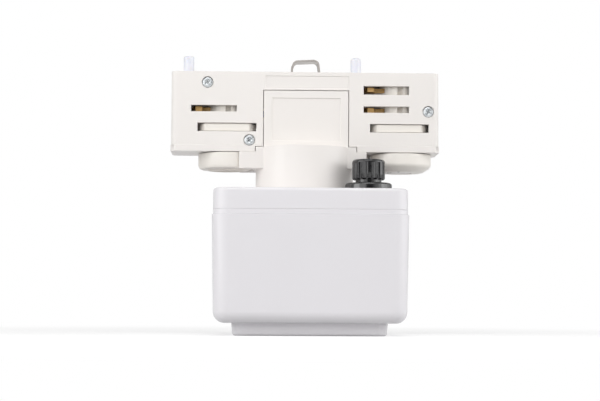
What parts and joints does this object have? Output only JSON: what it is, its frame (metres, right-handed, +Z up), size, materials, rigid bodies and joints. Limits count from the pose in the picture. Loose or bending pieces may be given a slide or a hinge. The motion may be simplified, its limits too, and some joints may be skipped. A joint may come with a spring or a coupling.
{
  "type": "track socket outlet",
  "caption": "Track adapter with turn levers, contact blades and an earth spring, carrying a fused box with an earthed two-pin socket that faces down.",
  "frame": {"origin": "centre of the bounding box's base: on the socket face that the outlet stands on, under the neck's axis", "axes": "+X along the adapter towards the phase lever, +Z up towards the track, the fuse holder at the front, -Y"},
  "size_m": [0.1056, 0.0742, 0.1102],
  "materials": {
    "adapter_plastic": "satin moulded warm white",
    "knob_plastic": "satin moulded cream",
    "pin_plastic": "satin moulded cool white",
    "box_plastic": "gloss moulded cool white",
    "base_plastic": "matte moulded white",
    "black_plastic": "gloss moulded black",
    "brass": "stamped",
    "zinc_steel": "zinc plated",
    "spring_steel": "nickel plated strip",
    "fuse_glass": "clear",
    "earth_insulation": "soft sleeving",
    "neutral_insulation": "soft sleeving",
    "live_insulation": "soft sleeving"
  },
  "bodies": {
    "housing": {"front_shell": "adapter_plastic", "rear_shell": "adapter_plastic", "hub": "adapter_plastic", "housing_screws": "zinc_steel", "coding_pin_left": "pin_plastic", "coding_pin_right": "pin_plastic", "earth_spring": "spring_steel", "neutral_wiper": "brass", "phase_wiper_upper": "brass", "phase_wiper_lower": "brass", "threaded_nipple": "zinc_steel", "nipple_nuts": "zinc_steel", "nipple_washer": "zinc_steel", "box_cap": "box_plastic", "box_body": "box_plastic", "socket_face": "box_plastic", "socket_base": "base_plastic", "sleeve_neutral": "brass", "sleeve_live": "brass", "earth_clip": "spring_steel", "socket_centre_screw": "zinc_steel", "socket_screws": "zinc_steel", "fuse_holder_body": "black_plastic", "fuse_holder_nut": "black_plastic", "fuse_end_terminal": "brass", "fuse_side_terminal": "brass", "earth_wire": "earth_insulation", "neutral_wire": "neutral_insulation", "live_wire_upper": "live_insulation", "live_wire_lower": "live_insulation"},
    "locking_lever": {"locking_lever": "knob_plastic", "neutral_contact": "brass"},
    "phase_lever": {"phase_lever": "knob_plastic", "phase_contact_upper": "brass", "phase_contact_lower": "brass"},
    "phase_dial": {"phase_dial": "adapter_plastic"},
    "fuse": {"fuse_glass": "fuse_glass", "fuse_end_caps": "zinc_steel"},
    "fuse_cap": {"fuse_cap": "black_plastic"}
  },
  "joints": [
    {"name": "locking_lever_turn", "type": "hinge", "parent": "housing", "child": "locking_lever", "pos_m": [-0.0307, 0, 0.068], "axis": [0, 0, 1], "range_deg": [0, 90]},
    {"name": "phase_lever_turn", "type": "hinge", "parent": "housing", "child": "phase_lever", "pos_m": [0.037, 0, 0.068], "axis": [0, 0, 1], "range_deg": [0, 90]},
    {"name": "phase_dial_turn", "type": "hinge", "parent": "phase_lever", "child": "phase_dial", "pos_m": [0.037, 0, 0.0652], "axis": [0, 0, 1], "range_deg": [0, 120]},
    {"name": "fuse_draw", "type": "slide", "parent": "housing", "child": "fuse", "axis": [0, 0, 1], "range_m": [0, 0.03]},
    {"name": "fuse_cap_turn", "type": "hinge", "parent": "fuse", "child": "fuse_cap", "pos_m": [0.0243, -0.017, 0.063], "axis": [0, 0, 1], "range_deg": [0, 90]}
  ]
}
